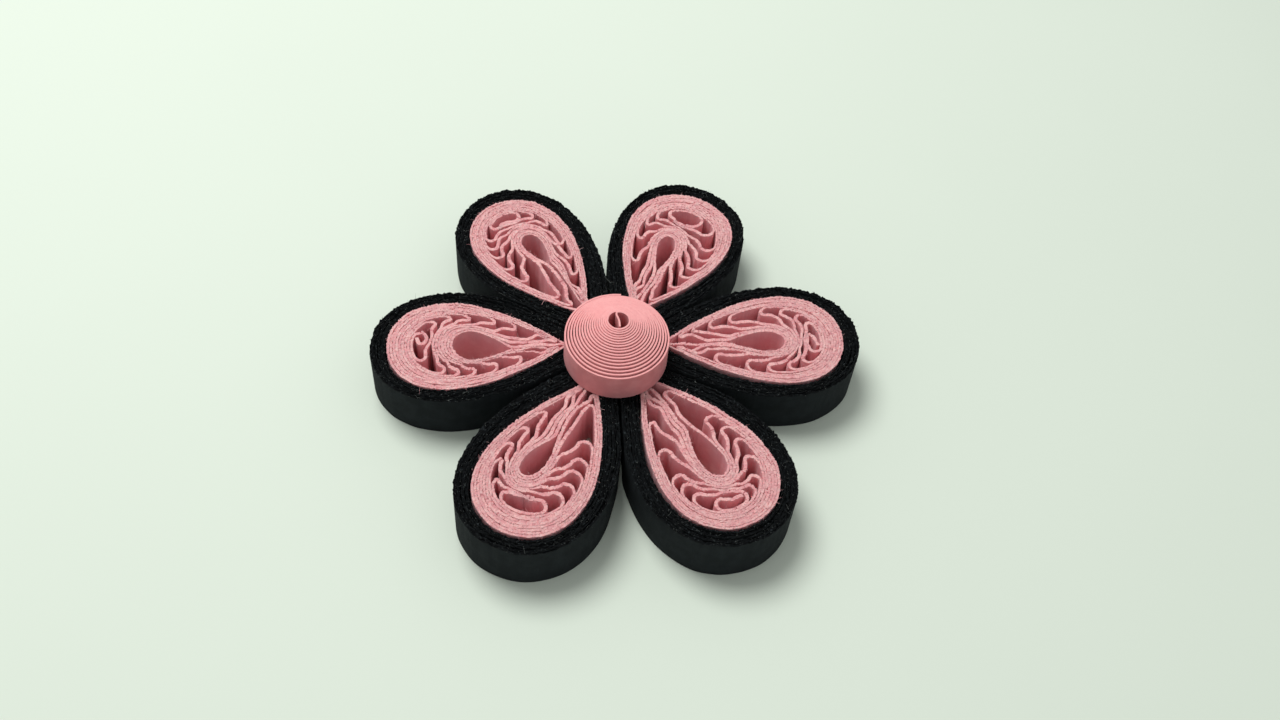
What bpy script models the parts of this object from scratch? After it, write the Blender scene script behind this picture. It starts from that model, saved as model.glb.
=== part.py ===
"""A quilled paper flower: six rolled teardrop petals in rolled borders, with a coned coil in the middle."""

import math

import bmesh
import bpy
import numpy as np

MM = 0.001

# The paper strips
PETAL_STRIP = 5.0 * MM  # width of the petals' strips, which stand on edge
CENTER_STRIP = 3.0 * MM  # width of the centre coil's strip
PLY = 0.24 * MM  # one thickness of strip in the loosely rolled petals
GLUE_GAP = 0.2 * MM  # clearance between pieces that are glued together

# A petal's pink coil, along its length from the flower's centre
PETAL_LENGTH = 20.7 * MM  # to the coil's round far end
PETAL_TIP = 4.1 * MM  # to the coil's pinched tip
PETAL_WIDTH = 9.8 * MM
TIP_WALL = 0.4 * MM  # paper between the tip and the first fold
WALL = 2.2 * MM  # all turns lying together, at the far end
SIDE_WALL = 1.35 * MM  # the turns lying together at the widest place
FAR_BAND = 1.4 * MM  # the open middle of the innermost fold, at the far end
SIDE_BAND = 1.25 * MM  # from the wall across to the core, where each turn folds back beside the pocket
CORE_WALL = 1.8 * MM  # the turns that run back, between the innermost fold and the pocket
POCKET_LENGTH = 5.3 * MM
POCKET_WIDTH = 2.1 * MM
SLIT_WIDTH = 0.38 * MM  # between the turns that run from the pocket to the tip
PETAL_SHARPNESS = 1.04  # how far a teardrop's widest place lies towards its far end
WALL_SHARPNESS = 1.24
POCKET_SHARPNESS = 0.9
FOLD_ROUNDNESS = 0.38  # how far a fold's head bows towards the tip, as a share of its width
FOLD_TAIL = 0.12  # how far a gap's horns run on past the next fold, as a share of its width
# Points across the folds' gaps, as shares of the way from the core's edge to the wall's edge
HEAD_SHARES = (0.18, 0.4, 0.6, 0.82)
BACK_SHARES = (0.86, 0.5, 0.14)
LAST_HEAD_SHARES = (0.2, 0.5, 0.8)
LAST_GAP_EDGES = (0.18, 0.82)

# A petal's black border
BORDER = 1.4 * MM  # thickness of the rolled strip
BORDER_TIP = 0.6 * MM  # from the flower's centre to the border's inner corner
BORDER_SHARPNESS = 0.95
BORDER_RIDGES = 4  # ridges that the plies' edges make
RIDGE_DEPTH = 0.25 * MM  # how far the ridges stand above the grooves between them

# The centre coil
CENTER_RADIUS = 4.7 * MM
CENTER_HOLE_RADIUS = 0.85 * MM
CENTER_RISE = 2.4 * MM  # how far the innermost turn is pushed up above the outermost
CENTER_ROUNDING = 0.15  # how much the cone's slope flattens towards its top, as a share of the rise
CENTER_TURNS = 20
CENTER_LEVEL_TURNS = 2  # outer turns that stay level
CENTER_STEP_DEPTH = 0.07 * MM  # how far a turn's edge stands proud of the groove beside it
CENTER_STRIP_END = 0.2 * MM  # thickness of the strip's inner end, which is bent across the hole
CENTER_END_DIRECTION = math.radians(82)
CENTER_OFFSET_X = -0.1 * MM  # the coil was set down a little off the place where the petals meet
CENTER_OFFSET_Y = -1.15 * MM

OUTLINE_POINTS = 32
POCKET_POINTS = 12
CENTER_SEGMENTS = 24

PINK = (0.84, 0.36, 0.37, 1.0)
CENTER_PINK = (0.92, 0.40, 0.39, 1.0)
BLACK = (0.018, 0.020, 0.022, 1.0)

# Each petal as it was rolled by hand, anticlockwise. Sizes are multiples of the ones above. Shifts are
# to the petal's left, as shares of its width. The slit's ends are shares of the way from the tip to the
# pocket, and their places are shares of the way from the core's right edge to its left one. Folds are
# angles on the teardrop, from 0 at its tip to 180 at its far end.
PETALS = (
    {
        "direction": 0, "length": 1.007, "width": 1.0, "border": 1.0, "side_border": 0.86,
        "wall": 1.0, "side_wall": 1.0, "far_band": 0.93, "side_band": 0.98, "core_wall": 1.0,
        "core_sharpness": 2.5, "core_shift": 0.0, "pocket_length": 0.99, "pocket_width": 1.02,
        "tail_shift": -0.01, "pocket_shift": -0.026, "slit": (0.274, 0.822), "slit_place": (0.84, 0.69),
        "folds_left": (52, 69, 86, 110, 128, 144), "last_left": 158,
        "folds_right": (32, 48, 70, 94, 109, 127, 144), "last_right": 161,
    },
    {
        "direction": 61, "length": 0.959, "width": 1.02, "border": 0.9, "side_border": 0.78,
        "wall": 1.0, "side_wall": 1.0, "far_band": 1.39, "side_band": 1.28, "core_wall": 0.92,
        "core_sharpness": 2.2, "core_shift": 0.061, "pocket_length": 0.86, "pocket_width": 0.76,
        "tail_shift": 0.01, "pocket_shift": 0.066, "slit": (0.503, 1.132), "slit_place": (0.7, 0.65),
        "folds_left": (46, 82, 109, 128, 144), "last_left": 160,
        "folds_right": (43, 70, 84, 96, 108, 122, 142), "last_right": 160,
    },
    {
        "direction": 122, "length": 0.973, "width": 0.944, "border": 0.98, "side_border": 0.98,
        "wall": 0.8, "side_wall": 0.93, "far_band": 0.82, "side_band": 0.76, "core_wall": 1.08,
        "core_sharpness": 2.5, "core_shift": -0.041, "pocket_length": 0.81, "pocket_width": 0.86,
        "tail_shift": -0.061, "pocket_shift": -0.061, "slit": (0.594, 1.146), "slit_place": (0.77, 0.68),
        "folds_left": (38, 56, 85, 102, 118, 129, 140), "last_left": 158,
        "folds_right": (36, 69, 85, 102, 127, 146), "last_right": 164,
    },
    {
        "direction": 178, "length": 0.981, "width": 0.98, "border": 1.02, "side_border": 0.77,
        "wall": 1.07, "side_wall": 1.11, "far_band": 0.89, "side_band": 0.6, "core_wall": 1.22,
        "core_sharpness": 2.2, "core_shift": -0.026, "pocket_length": 1.02, "pocket_width": 1.45,
        "tail_shift": 0.041, "pocket_shift": -0.01, "slit": (0.298, 0.897), "slit_place": (0.3, 0.31),
        "folds_left": (35, 68, 87, 104, 117, 131), "last_left": 157,
        "folds_right": (40, 72, 89, 110, 126, 144), "last_right": 164,
    },
    {
        "direction": 240, "length": 1.034, "width": 1.02, "border": 1.04, "side_border": 1.04,
        "wall": 1.11, "side_wall": 1.0, "far_band": 1.21, "side_band": 1.13, "core_wall": 0.75,
        "core_sharpness": 2.4, "core_shift": -0.082, "pocket_length": 1.09, "pocket_width": 0.95,
        "tail_shift": -0.02, "pocket_shift": -0.097, "slit": (0.414, 1.076), "slit_place": (0.86, 0.73),
        "folds_left": (50, 83, 96, 107, 118, 130), "last_left": 145,
        "folds_right": (43, 80, 98, 120, 146), "last_right": 164,
    },
    {
        "direction": 299, "length": 1.031, "width": 1.036, "border": 1.07, "side_border": 1.09,
        "wall": 0.93, "side_wall": 0.96, "far_band": 1.0, "side_band": 1.2, "core_wall": 0.94,
        "core_sharpness": 2.1, "core_shift": 0.015, "pocket_length": 1.25, "pocket_width": 1.1,
        "tail_shift": 0.041, "pocket_shift": 0.026, "slit": (0.529, 1.114), "slit_place": (0.32, 0.34),
        "folds_left": (46, 84, 97, 109, 127, 147), "last_left": 162,
        "folds_right": (36, 66, 90, 112, 122, 134), "last_right": 154,
    },
)


def clear_scene():
    for thing in list(bpy.data.objects):
        bpy.data.objects.remove(thing, do_unlink=True)


def make_paper(name, color):
    paper = bpy.data.materials.new(name)
    paper.use_nodes = True
    shader = paper.node_tree.nodes["Principled BSDF"]
    shader.inputs["Base Color"].default_value = color
    shader.inputs["Roughness"].default_value = 0.85
    shader.inputs["Metallic"].default_value = 0.0
    return paper


def turned(points, angle):
    """Points turned about the flower's centre."""
    c, s = math.cos(angle), math.sin(angle)
    return np.stack([c * points[:, 0] - s * points[:, 1], s * points[:, 0] + c * points[:, 1]], axis=1)


def teardrop(tip, far, width, sharpness, angle):
    """Points of a teardrop along +X: pointed at tip for angle 0, rounded at far for angle pi."""
    widest = math.atan(math.sqrt(1 + sharpness))
    height = math.sin(2 * widest) * math.sin(widest) ** sharpness
    x = tip + (far - tip) * (1 - np.cos(angle)) / 2
    y = width / 2 * np.sin(angle) * np.abs(np.sin(angle / 2)) ** sharpness / height
    return np.stack([x, y], axis=1)


def shifted(points, angle, at_tip, at_far):
    """The teardrop's points moved sideways, by at_tip near its tip and by at_far at its round end."""
    points[:, 1] += at_tip + (at_far - at_tip) * np.sin(angle / 2) ** 2
    return points


def even_angles(count):
    return np.linspace(0, 2 * math.pi, count, endpoint=False)


def coil_length(petal):
    return PETAL_LENGTH * petal["length"]


def wall_edge(petal):
    """Where the rolled wall ends and the innermost fold's opening starts, on the petal's axis."""
    return coil_length(petal) - WALL * petal["wall"]


def core_edge(petal):
    return wall_edge(petal) - FAR_BAND * petal["far_band"]


def coil_outline(petal, angle):
    return teardrop(PETAL_TIP, coil_length(petal), PETAL_WIDTH * petal["width"], PETAL_SHARPNESS, angle)


def fold_band(petal, angle):
    """The two edges between which the strip folds back: the rolled wall's and the rolled core's."""
    tip = PETAL_TIP + TIP_WALL
    wall_width = PETAL_WIDTH * petal["width"] - 2 * SIDE_WALL * petal["side_wall"]
    core_width = wall_width - 2 * SIDE_BAND * petal["side_band"]
    wall = teardrop(tip, wall_edge(petal), wall_width, WALL_SHARPNESS, angle)
    core = teardrop(tip, core_edge(petal), core_width, petal["core_sharpness"], angle)
    return wall, shifted(core, angle, 0, PETAL_WIDTH * petal["core_shift"])


def in_band(petal, angle, share):
    """Points between the core's edge, share 0, and the wall's edge, share 1."""
    wall, core = fold_band(petal, angle)
    return core + (wall - core) * np.reshape(share, (-1, 1))


def band_width(petal, angle):
    wall, core = fold_band(petal, np.array([angle]))
    return float(np.linalg.norm(wall - core))


def band_travel(petal, angle):
    """How far the band's middle moves for each radian."""
    step = 0.01
    ends = in_band(petal, np.array([angle - step, angle + step]), [0.5, 0.5])
    return float(np.linalg.norm(ends[1] - ends[0])) / (2 * step)


def on_side(angle, side):
    return angle if side > 0 else 2 * math.pi - angle


def fold_gap(petal, fold, next_fold, side):
    """The open crescent inside one fold of the strip, up to the back of the next fold.

    Its head is round and points to the petal's tip, and its two horns run on along the wall and the
    core, where the strips close up.
    """
    start, end = math.radians(fold), math.radians(next_fold)
    start_travel = band_travel(petal, on_side(start, side))
    end_travel = band_travel(petal, on_side(end, side))
    start_width = band_width(petal, on_side(start, side))
    end_width = band_width(petal, on_side(end, side))
    start_bow = FOLD_ROUNDNESS * start_width / start_travel
    end_bow = FOLD_ROUNDNESS * end_width / end_travel
    head_share = np.array(HEAD_SHARES)
    head = start + PLY / 2 / start_travel + start_bow * (2 * head_share - 1) ** 2
    back_share = np.array(BACK_SHARES)
    back = end - PLY / 2 / end_travel + end_bow * (2 * back_share - 1) ** 2
    horn = end + end_bow + FOLD_TAIL * end_width / end_travel
    lift = PLY / 2 / end_width
    angle = np.concatenate([head, [(head[-1] + horn) / 2, horn], back, [horn]])
    share = np.concatenate([head_share, [1 - lift / 2, 1 + lift], back_share, [-lift]])
    points = in_band(petal, on_side(angle, side), share)
    return points if side > 0 else points[::-1]


def last_gap(petal):
    """The innermost fold's long crescent, across the petal's far end, with a round head at each end."""
    head_share = np.array(LAST_HEAD_SHARES)
    ends = []
    for side, fold in ((1, petal["last_left"]), (-1, petal["last_right"])):
        start = math.radians(fold)
        travel = band_travel(petal, on_side(start, side))
        bow = FOLD_ROUNDNESS * band_width(petal, on_side(start, side)) / travel
        ends.append(on_side(start + PLY / 2 / travel + bow * (2 * head_share - 1) ** 2, side))
    left, right = ends
    middle = np.linspace(left[0], right[0], 5)[1:-1]
    angle = np.concatenate([left, middle, right[::-1], middle[::-1]])
    core_side, wall_side = (np.full(len(middle), edge) for edge in LAST_GAP_EDGES)
    share = np.concatenate([head_share, wall_side, head_share[::-1], core_side])
    return in_band(petal, angle, share)


def across_core(petal, x, share):
    """How far to the left of the petal's axis that share of the core's width ends, x along the petal."""
    tip = PETAL_TIP + TIP_WALL
    angle = math.acos(1 - 2 * (x - tip) / (core_edge(petal) - tip))
    left, right = fold_band(petal, np.array([angle, -angle]))[1][:, 1]
    return right + (left - right) * share


def pocket_ends(petal):
    """Where the pocket's pointed tail and its round far end lie on the petal's axis."""
    far = core_edge(petal) - CORE_WALL * petal["core_wall"]
    return far - POCKET_LENGTH * petal["pocket_length"], far


def pocket(petal):
    """The hole that the indented tip of the roll leaves behind it."""
    angle = even_angles(POCKET_POINTS)
    tail, far = pocket_ends(petal)
    points = teardrop(tail, far, POCKET_WIDTH * petal["pocket_width"], POCKET_SHARPNESS, angle)
    return shifted(points, angle, PETAL_WIDTH * petal["tail_shift"], PETAL_WIDTH * petal["pocket_shift"])


def neck_slit(petal):
    """A slim opening between the strips that run from the pocket to the tip."""
    neck = pocket_ends(petal)[0] - PETAL_TIP
    start, end = (PETAL_TIP + neck * share for share in petal["slit"])
    first, last = (across_core(petal, x, share) for x, share in zip((start, end), petal["slit_place"]))
    along = np.array([0.0, 0.35, 0.7, 1.0, 0.7, 0.35])
    across = np.array([0.0, -0.5, -0.35, 0.0, 0.35, 0.5]) * SLIT_WIDTH
    return np.stack([start + (end - start) * along, first + (last - first) * along + across], axis=1)


def coil_openings(petal):
    shapes = [pocket(petal), neck_slit(petal), last_gap(petal)]
    for side, folds, last in (
        (1, petal["folds_left"], petal["last_left"]),
        (-1, petal["folds_right"], petal["last_right"]),
    ):
        ends = folds[1:] + (last,)
        shapes += [fold_gap(petal, fold, end, side) for fold, end in zip(folds, ends)]
    return shapes


def add_flat_spline(curve, points):
    spline = curve.splines.new("POLY")
    spline.points.add(len(points) - 1)
    for point, (x, y) in zip(spline.points, points):
        point.co = (x, y, 0, 1)
    spline.use_cyclic_u = True


def make_coil(name, petal, flower, paper):
    """The petal's pink roll: one strip, rolled, pinched to a teardrop and pushed in at its tip."""
    curve = bpy.data.curves.new(name, "CURVE")
    curve.dimensions = "2D"
    curve.fill_mode = "BOTH"
    curve.extrude = PETAL_STRIP / 2
    add_flat_spline(curve, coil_outline(petal, even_angles(OUTLINE_POINTS)))
    for shape in coil_openings(petal):
        add_flat_spline(curve, shape)
    curve.materials.append(paper)
    coil = bpy.data.objects.new(name, curve)
    coil.location = (0, 0, PETAL_STRIP / 2)
    coil.rotation_euler = (0, 0, math.radians(petal["direction"]))
    coil.parent = flower
    return coil


def border_outlines(petal, left_half, right_half):
    """The border's inner and outer outlines. Neighbours are pressed flat where they meet, halfway."""
    angle = even_angles(OUTLINE_POINTS)
    far = coil_length(petal) + GLUE_GAP
    width = PETAL_WIDTH * petal["width"] + 2 * GLUE_GAP
    near_tip = coil_outline(petal, np.array([math.pi / 4]))[0]
    tip_slope = math.atan2(near_tip[1], near_tip[0] - PETAL_TIP)
    inner = teardrop(PETAL_TIP - GLUE_GAP / math.sin(tip_slope), far, width, PETAL_SHARPNESS, angle)
    outer_far = far + BORDER * petal["border"]
    outer_width = width + 2 * BORDER * petal["side_border"]
    outer = teardrop(BORDER_TIP, outer_far, outer_width, BORDER_SHARPNESS, angle)
    half_gap = GLUE_GAP / 2
    left_limit = outer[:, 0] * math.tan(left_half) - half_gap / math.cos(left_half)
    right_limit = outer[:, 0] * math.tan(right_half) - half_gap / math.cos(right_half)
    outer[:, 1] = np.clip(outer[:, 1], -right_limit, left_limit)
    return inner, outer


def make_border(name, petal, left_half, right_half, flower, paper):
    """The black strip rolled round the coil, as a loft through its plies' edges."""
    inner, outer = border_outlines(petal, left_half, right_half)
    rows = [(inner, 0.0)]
    for edge in range(2 * BORDER_RIDGES + 1):
        share = edge / (2 * BORDER_RIDGES)
        groove = 0.0 if edge % 2 else RIDGE_DEPTH
        rows.append((inner + (outer - inner) * share, PETAL_STRIP - groove))
    rows.append((outer, 0.0))
    shape = bmesh.new()
    loops = [[shape.verts.new((x, y, height)) for x, y in points] for points, height in rows]
    for loop, next_loop in zip(loops, loops[1:] + loops[:1]):
        for i in range(OUTLINE_POINTS):
            after = (i + 1) % OUTLINE_POINTS
            shape.faces.new((loop[i], loop[after], next_loop[after], next_loop[i]))
    bmesh.ops.recalc_face_normals(shape, faces=shape.faces)
    mesh = bpy.data.meshes.new(name)
    shape.to_mesh(mesh)
    shape.free()
    mesh.materials.append(paper)
    border = bpy.data.objects.new(name, mesh)
    border.rotation_euler = (0, 0, math.radians(petal["direction"]))
    border.parent = flower
    return border


def center_rise(radius):
    """How far the turn at this radius is pushed up: level at the rim, then a slope that rounds over."""
    turn = (CENTER_RADIUS - CENTER_HOLE_RADIUS) / CENTER_TURNS
    level_radius = CENTER_RADIUS - CENTER_LEVEL_TURNS * turn
    share = (level_radius - radius) / (level_radius - CENTER_HOLE_RADIUS)
    share = min(1.0, max(0.0, share))
    return CENTER_RISE * ((1 + CENTER_ROUNDING) * share - CENTER_ROUNDING * share * share)


def center_profile():
    """Half section of the coned coil: down its side, in along the hollow underside, up the hole."""
    turn = (CENTER_RADIUS - CENTER_HOLE_RADIUS) / CENTER_TURNS
    profile = [(CENTER_RADIUS, CENTER_STRIP), (CENTER_RADIUS, 0.0)]
    for step in (CENTER_LEVEL_TURNS, (CENTER_TURNS + CENTER_LEVEL_TURNS) / 2, CENTER_TURNS):
        radius = CENTER_RADIUS - step * turn
        profile.append((radius, center_rise(radius)))
    for step in range(CENTER_TURNS):
        inside = CENTER_HOLE_RADIUS + step * turn
        height = CENTER_STRIP + center_rise(inside + turn / 2)
        profile.append((inside, height - CENTER_STEP_DEPTH if step else height))
        profile.append((inside + turn / 2, height))
    return profile


def make_center(flower, paper):
    """The centre's tight roll, pushed up into a low cone, with its strip's inner end across the hole."""
    mesh = bpy.data.meshes.new("center_cone_coil")
    points = [(radius, 0, height) for radius, height in center_profile()]
    edges = [(i, (i + 1) % len(points)) for i in range(len(points))]
    mesh.from_pydata(points, edges, [])
    mesh.materials.append(paper)
    center = bpy.data.objects.new("center_cone_coil", mesh)
    center.location = (CENTER_OFFSET_X, CENTER_OFFSET_Y, PETAL_STRIP + GLUE_GAP)
    center.parent = flower
    turning = center.modifiers.new("Turned", "SCREW")
    turning.steps = CENTER_SEGMENTS
    turning.render_steps = CENTER_SEGMENTS
    turning.use_merge_vertices = True
    turning.merge_threshold = 0.00001
    return center


def make_strip_end(center, paper, cutters):
    """The bent end of the centre's strip, joined to the innermost turn on both sides of the hole."""
    bpy.ops.mesh.primitive_cube_add(size=1)
    strip_end = bpy.context.object
    strip_end.name = "center_strip_end"
    reach = 2 * CENTER_HOLE_RADIUS + CENTER_STRIP_END
    height = CENTER_STRIP - CENTER_STRIP_END
    strip_end.scale = (reach, CENTER_STRIP_END, height)
    strip_end.location = (0, 0, CENTER_RISE + CENTER_STRIP / 2)
    strip_end.rotation_euler = (0, 0, CENTER_END_DIRECTION)
    strip_end.parent = center
    strip_end.data.materials.append(paper)
    strip_end.hide_render = True
    strip_end.display_type = "WIRE"
    for collection in list(strip_end.users_collection):
        collection.objects.unlink(strip_end)
    cutters.objects.link(strip_end)
    joining = center.modifiers.new("Strip end", "BOOLEAN")
    joining.operation = "UNION"
    joining.object = strip_end


def half_angle(petal, neighbor):
    """Half the angle from one petal's direction anticlockwise to the next one's."""
    return math.radians((neighbor["direction"] - petal["direction"]) % 360) / 2


def middle_of(outlines):
    """The middle of the box round the borders, which becomes the part's origin."""
    points = np.concatenate(outlines)
    return (points.min(axis=0) + points.max(axis=0)) / 2


def main():
    clear_scene()
    parts = bpy.data.collections.new("quilled_flower")
    cutters = bpy.data.collections.new("cutters")
    bpy.context.scene.collection.children.link(parts)
    bpy.context.scene.collection.children.link(cutters)
    pink = make_paper("pink_paper", PINK)
    center_pink = make_paper("center_pink_paper", CENTER_PINK)
    black = make_paper("black_paper", BLACK)

    flower = bpy.data.objects.new("flower", None)
    parts.objects.link(flower)
    outlines = []
    for number, petal in enumerate(PETALS, start=1):
        left_half = half_angle(petal, PETALS[number % len(PETALS)])
        right_half = half_angle(PETALS[number - 2], petal)
        outer = border_outlines(petal, left_half, right_half)[1]
        outlines.append(turned(outer, math.radians(petal["direction"])))
        parts.objects.link(make_coil(f"petal_{number}_coil", petal, flower, pink))
        border = make_border(f"petal_{number}_border", petal, left_half, right_half, flower, black)
        parts.objects.link(border)
    center = make_center(flower, center_pink)
    parts.objects.link(center)
    make_strip_end(center, center_pink, cutters)
    middle = middle_of(outlines)
    flower.location = (-middle[0], -middle[1], 0)


main()
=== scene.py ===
# Quilled paper flower: the looks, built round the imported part. Lengths are in metres. Angles are in
# degrees in the dictionaries and for turnBy, and in radians elsewhere.
import math

import bpy
import numpy as np
from mathutils import Matrix, Vector


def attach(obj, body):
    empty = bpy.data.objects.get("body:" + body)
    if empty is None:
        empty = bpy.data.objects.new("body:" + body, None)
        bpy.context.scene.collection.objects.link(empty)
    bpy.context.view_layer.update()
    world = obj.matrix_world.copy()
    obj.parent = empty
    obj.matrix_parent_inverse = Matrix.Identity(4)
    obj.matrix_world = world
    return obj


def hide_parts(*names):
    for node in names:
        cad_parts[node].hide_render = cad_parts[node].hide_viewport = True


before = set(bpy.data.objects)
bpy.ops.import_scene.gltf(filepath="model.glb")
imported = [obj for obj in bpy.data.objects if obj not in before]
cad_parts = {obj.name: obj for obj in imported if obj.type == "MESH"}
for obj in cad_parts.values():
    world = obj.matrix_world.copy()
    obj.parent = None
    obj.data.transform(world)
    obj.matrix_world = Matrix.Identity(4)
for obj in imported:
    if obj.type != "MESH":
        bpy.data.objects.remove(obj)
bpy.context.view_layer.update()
mm = 0.001
tau = 2 * math.pi
tiny = 1e-12  # keeps a division from meeting zero
print("frame loaded:", len(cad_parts), "solids")


# Shapes in the plane. Every function takes and gives whole arrays.

def teardrop(angle, tip, far, width, sharpness):
    # x runs from tip to far as (1 - cos angle) / 2. y is half the width times sin(angle) times
    # |sin(angle / 2)| to the power of sharpness, over that product's own highest value.
    widest = math.atan(math.sqrt(1 + sharpness))
    highest = math.sin(2 * widest) * math.sin(widest) ** sharpness
    x = tip + (far - tip) * (1 - np.cos(angle)) / 2
    y = width / 2 * np.sin(angle) * np.abs(np.sin(angle / 2)) ** sharpness / highest
    return np.stack([x, y], axis=-1)


def shiftAlong(points, angle, atTip, atFar):
    # Sideways by atTip at the tip, going over to atFar at the round end with sin squared of half the angle.
    points[:, 1] += atTip + (atFar - atTip) * np.sin(angle / 2) ** 2
    return points


def turnBy(points, degrees):
    c, s = math.cos(math.radians(degrees)), math.sin(math.radians(degrees))
    return points @ np.array([[c, s], [-s, c]])


def softStep(value, start, end):
    t = np.clip((value - start) / (end - start), 0, 1)
    return t * t * (3 - 2 * t)


def softMax(a, b, blend):
    return (a + b + np.sqrt((a - b) ** 2 + blend ** 2)) / 2 - blend / 2


def pathLength(points):
    return np.concatenate([[0], np.cumsum(np.linalg.norm(np.diff(points, axis=0), axis=1))])


def cutCorners(points, rounds=3):
    # Each round puts two points on every side, a quarter and three quarters along it, and keeps the ends.
    for _ in range(rounds):
        a, b = points[:-1], points[1:]
        inner = np.stack([a * 0.75 + b * 0.25, a * 0.25 + b * 0.75], axis=1).reshape(-1, points.shape[1])
        points = np.concatenate([points[:1], inner, points[-1:]])
    return points


def spaceEvenly(points, step):
    # The same line with its points one step apart, measured along its first two columns.
    lengths = pathLength(points[:, :2])
    at = np.linspace(0, lengths[-1], max(3, int(lengths[-1] / step) + 1))
    return np.stack([np.interp(at, lengths, column) for column in points.T], axis=1)


def smoothLine(points, reach):
    # Each point becomes the weighted mean of the points up to reach on both sides of it.
    weights = np.hanning(2 * reach + 3)[1:-1]
    padded = np.pad(points, ((reach, reach), (0, 0)), mode="edge")
    smooth = [np.convolve(column, weights / weights.sum(), mode="valid") for column in padded.T]
    return np.stack(smooth, axis=1)


def waver(seed, along, waves, shortest, longest):
    # A sum of sines with random phases and wavelengths between the two, scaled to about -1 to 1.
    pick = np.random.default_rng(seed)
    length = shortest * (longest / shortest) ** pick.random(waves)
    phase = pick.random(waves) * tau
    return np.sin(along[..., None] / length * tau + phase).sum(axis=-1) / math.sqrt(waves)


def unitTangent(path):
    tangent = np.gradient(path, axis=0)
    return tangent / (np.linalg.norm(tangent, axis=1, keepdims=True) + tiny)


def squareTo(path, reach):
    # How far reach goes at a right angle to the path, at each of its points.
    tangent = unitTangent(path)
    return np.abs(reach[:, 0] * tangent[:, 1] - reach[:, 1] * tangent[:, 0])


# Crossing waves: the way each runs, as shares of x and y, how many sines it has, and their shortest and
# longest wavelengths. The first two move points along x and the others along y.
paperWaves = (
    ((0.6, 0.8), 4, 1.8 * mm, 5 * mm),
    ((1.0, -0.4), 3, 2 * mm, 4 * mm),
    ((0.9, -0.5), 4, 1.8 * mm, 5 * mm),
    ((0.3, 1.0), 3, 2 * mm, 4 * mm),
)


def paperWave(points, seed, size):
    # Moves points by a smooth field, so that plies side by side move together.
    x, y = points[:, 0], points[:, 1]
    moves = [waver(seed + place, x * way[0] + y * way[1], *sines)
             for place, (way, *sines) in enumerate(paperWaves)]
    return points + np.stack([moves[0] + moves[1], moves[2] + moves[3]], axis=1) * size / 2


# Meshes

creaseAngle = 50  # edges sharper than this are shown sharp

def makeMesh(name, verts, faces, values, material):
    mesh = bpy.data.meshes.new(name)
    mesh.from_pydata(verts.tolist(), [], faces)
    for key, value in values.items():
        layer = mesh.attributes.new(key, "FLOAT", "POINT")
        layer.data.foreach_set("value", value.astype(np.float32))
    mesh.materials.append(material)
    mesh.shade_smooth()
    mesh.set_sharp_from_angle(angle=math.radians(creaseAngle))
    piece = bpy.data.objects.new(name, mesh)
    bpy.context.scene.collection.objects.link(piece)
    return piece


def carryProfile(path, across, heights):
    # A strip's cross section carried along a path in the plane. Each point is the path's point, plus
    # the path's left-hand normal times across, at the given height. Rings are joined by quads, and
    # both ends are closed. across and heights are (path points, profile points).
    tangent = unitTangent(path)
    normal = np.stack([-tangent[:, 1], tangent[:, 0]], axis=1)
    flat = path[:, None, :] + normal[:, None, :] * across[..., None]
    verts = np.concatenate([flat, heights[..., None]], axis=2)
    n, m = across.shape
    ring = np.arange(m)
    start = np.arange(n - 1)[:, None] * m
    after = (ring + 1) % m
    quads = np.stack([start + ring, start + m + ring, start + m + after, start + after], axis=-1)
    faces = quads.reshape(-1, 4).tolist()
    faces += [ring.tolist(), ((n - 1) * m + ring[::-1]).tolist()]
    return verts.reshape(-1, 3), faces


# A strip of paper on edge. Its cut edge is a little rounded, strays sideways and is ragged. Waves are how
# many sines, and their shortest and longest wavelengths along the strip.
stripEdge = {
    "side": np.array([-1, -1, -0.9, 0.9, 1, 1]),  # shares of half the thickness
    "height": np.array([0, 0.96, 1, 1, 0.96, 0]),  # share of the way from the foot to the top
    "crimpWaves": (30, 0.35 * mm, 1.6 * mm), "toneWaves": (24, 0.5 * mm, 12 * mm),
    "sidewaysStray": 0.6,  # as a share of the stray in height
}


def stripMesh(path, thickness, top, foot, crimp, ragged, seed):
    # thickness, top and foot are arrays along the path. The cut edge strays sideways by crimp, in waves
    # along the strip, and its points stray by ragged. rise is 0 at the foot and 1 on the cut edge, along
    # is the strip's length so far, and tone is a slow wave of light and dark.
    pick = np.random.default_rng(seed)
    side, height = stripEdge["side"], stripEdge["height"]
    onTop = height == 1
    even = pathLength(path)
    stray = pick.normal(0, 1, (len(path), len(onTop))) * ragged * onTop
    waves = waver(seed + 1, even, *stripEdge["crimpWaves"]) * crimp
    across = thickness[:, None] / 2 * side + (waves[:, None] + stray * stripEdge["sidewaysStray"]) * onTop
    heights = foot[:, None] + (top - foot)[:, None] * height + stray
    verts, faces = carryProfile(path, across, heights)
    tone = waver(seed + 2, even, *stripEdge["toneWaves"])
    values = {
        "rise": np.tile(height, len(path)),
        "along": np.repeat(even, len(onTop)),
        "tone": np.repeat(tone, len(onTop)),
    }
    return verts, faces, values


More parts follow.
